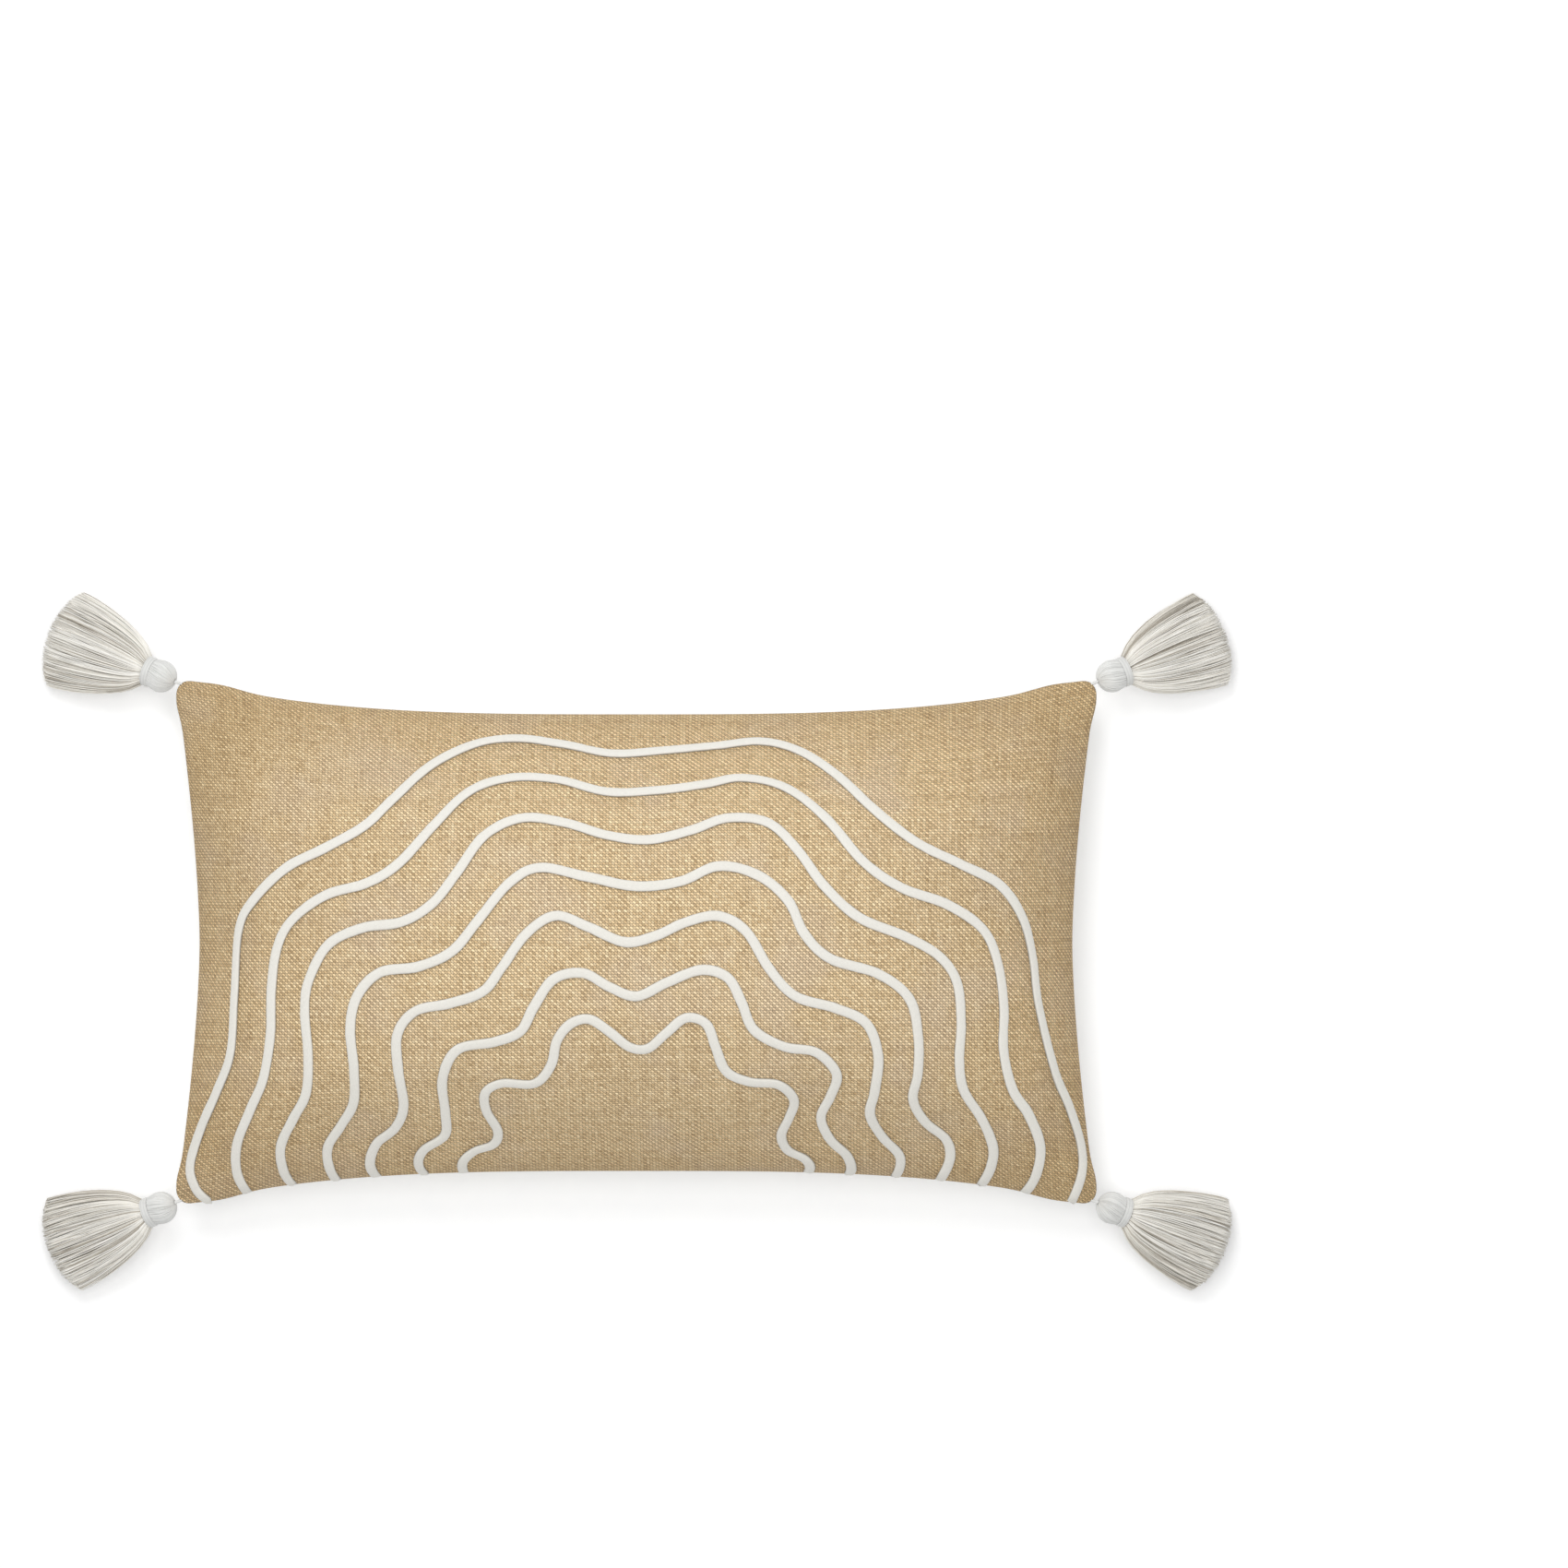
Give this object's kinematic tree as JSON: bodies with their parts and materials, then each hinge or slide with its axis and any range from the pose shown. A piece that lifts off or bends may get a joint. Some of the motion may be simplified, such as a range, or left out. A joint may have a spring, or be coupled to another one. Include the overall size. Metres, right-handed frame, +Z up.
{
  "type": "throw pillow",
  "caption": "Rectangular lumbar throw pillow: woven jute face with nested wavy cord arches, plain cotton back with a lapped zip, and a long tassel at every corner.",
  "frame": {"origin": "on the plane the pillow rests on, under the middle of the object, with the jute face up", "axes": "+X along the long sides, +Y towards the top edge of the motif (the edge nearest the zip), +Z up out of the jute face"},
  "size_m": [0.7912, 0.4636, 0.1441],
  "materials": {
    "jute": "coarse plain weave of natural jute, matt",
    "cord_cotton": "soft flattened cotton cord, matt",
    "back_cotton": "unbleached plain cotton with flecks, matt",
    "insert_cotton": "thin white cotton",
    "fibre": "loose polyester fibre",
    "tassel_yarn": "fine straight yarn, slight sheen",
    "tassel_head_yarn": "tightly wrapped yarn, matt",
    "zip_tape": "woven tape",
    "zip_coil": "satin",
    "zip_metal": "satin"
  },
  "bodies": {
    "pillow": {"front_panel": "jute", "applique_cord_1": "cord_cotton", "applique_cord_2": "cord_cotton", "applique_cord_3": "cord_cotton", "applique_cord_4": "cord_cotton", "applique_cord_5": "cord_cotton", "applique_cord_6": "cord_cotton", "applique_cord_7": "cord_cotton", "back_panel_lower": "back_cotton", "back_panel_upper": "back_cotton", "placket_flap": "back_cotton", "edge_seam": "back_cotton", "insert_case_front": "insert_cotton", "insert_case_back": "insert_cotton", "fibre_fill": "fibre", "zip_tape_upper": "zip_tape", "zip_tape_lower": "zip_tape", "zip_coil_upper": "zip_coil", "zip_coil_lower": "zip_coil", "zip_stop_left": "zip_metal", "zip_stop_right": "zip_metal"},
    "zip_slider": {"zip_slider": "zip_metal"},
    "zip_pull": {"zip_pull": "zip_metal"},
    "tassel_top_right_string": {"tassel_top_right_string": "tassel_head_yarn"},
    "tassel_top_right": {"tassel_top_right_head": "tassel_head_yarn", "tassel_top_right_neck_wrap": "tassel_head_yarn", "tassel_top_right_skirt": "tassel_yarn"},
    "tassel_top_left_string": {"tassel_top_left_string": "tassel_head_yarn"},
    "tassel_top_left": {"tassel_top_left_head": "tassel_head_yarn", "tassel_top_left_neck_wrap": "tassel_head_yarn", "tassel_top_left_skirt": "tassel_yarn"},
    "tassel_bottom_left_string": {"tassel_bottom_left_string": "tassel_head_yarn"},
    "tassel_bottom_left": {"tassel_bottom_left_head": "tassel_head_yarn", "tassel_bottom_left_neck_wrap": "tassel_head_yarn", "tassel_bottom_left_skirt": "tassel_yarn"},
    "tassel_bottom_right_string": {"tassel_bottom_right_string": "tassel_head_yarn"},
    "tassel_bottom_right": {"tassel_bottom_right_head": "tassel_head_yarn", "tassel_bottom_right_neck_wrap": "tassel_head_yarn", "tassel_bottom_right_skirt": "tassel_yarn"}
  },
  "joints": [
    {"name": "zip_travel", "type": "hinge", "parent": "pillow", "child": "zip_slider", "pos_m": [0, 0.111, 1.41], "axis": [0, -1, 0], "range_deg": [0, 20.2]},
    {"name": "zip_pull_lift", "type": "hinge", "parent": "zip_slider", "child": "zip_pull", "pos_m": [-0.24894, 0.1118, 0.03078], "axis": [0.0834, 0.8829, 0.462], "range_deg": [0, 8]},
    {"name": "tassel_top_right_swing", "type": "hinge", "parent": "pillow", "child": "tassel_top_right_string", "pos_m": [0.30359, 0.17237, 0.036], "axis": [0, 0, 1], "range_deg": [-45, 45]},
    {"name": "tassel_top_right_lift", "type": "hinge", "parent": "tassel_top_right_string", "child": "tassel_top_right", "pos_m": [0.30555, 0.17313, 0.036], "axis": [0.3584, -0.9336, 0], "range_deg": [0, 65]},
    {"name": "tassel_top_left_swing", "type": "hinge", "parent": "pillow", "child": "tassel_top_left_string", "pos_m": [-0.30359, 0.17237, 0.036], "axis": [0, 0, 1], "range_deg": [-45, 45]},
    {"name": "tassel_top_left_lift", "type": "hinge", "parent": "tassel_top_left_string", "child": "tassel_top_left", "pos_m": [-0.30555, 0.17313, 0.036], "axis": [0.3584, 0.9336, 0], "range_deg": [0, 65]},
    {"name": "tassel_bottom_left_swing", "type": "hinge", "parent": "pillow", "child": "tassel_bottom_left_string", "pos_m": [-0.30359, -0.17237, 0.036], "axis": [0, 0, 1], "range_deg": [-45, 45]},
    {"name": "tassel_bottom_left_lift", "type": "hinge", "parent": "tassel_bottom_left_string", "child": "tassel_bottom_left", "pos_m": [-0.30555, -0.17313, 0.036], "axis": [-0.3584, 0.9336, 0], "range_deg": [0, 65]},
    {"name": "tassel_bottom_right_swing", "type": "hinge", "parent": "pillow", "child": "tassel_bottom_right_string", "pos_m": [0.30359, -0.17237, 0.036], "axis": [0, 0, 1], "range_deg": [-45, 45]},
    {"name": "tassel_bottom_right_lift", "type": "hinge", "parent": "tassel_bottom_right_string", "child": "tassel_bottom_right", "pos_m": [0.30555, -0.17313, 0.036], "axis": [-0.3584, -0.9336, 0], "range_deg": [0, 65]}
  ]
}
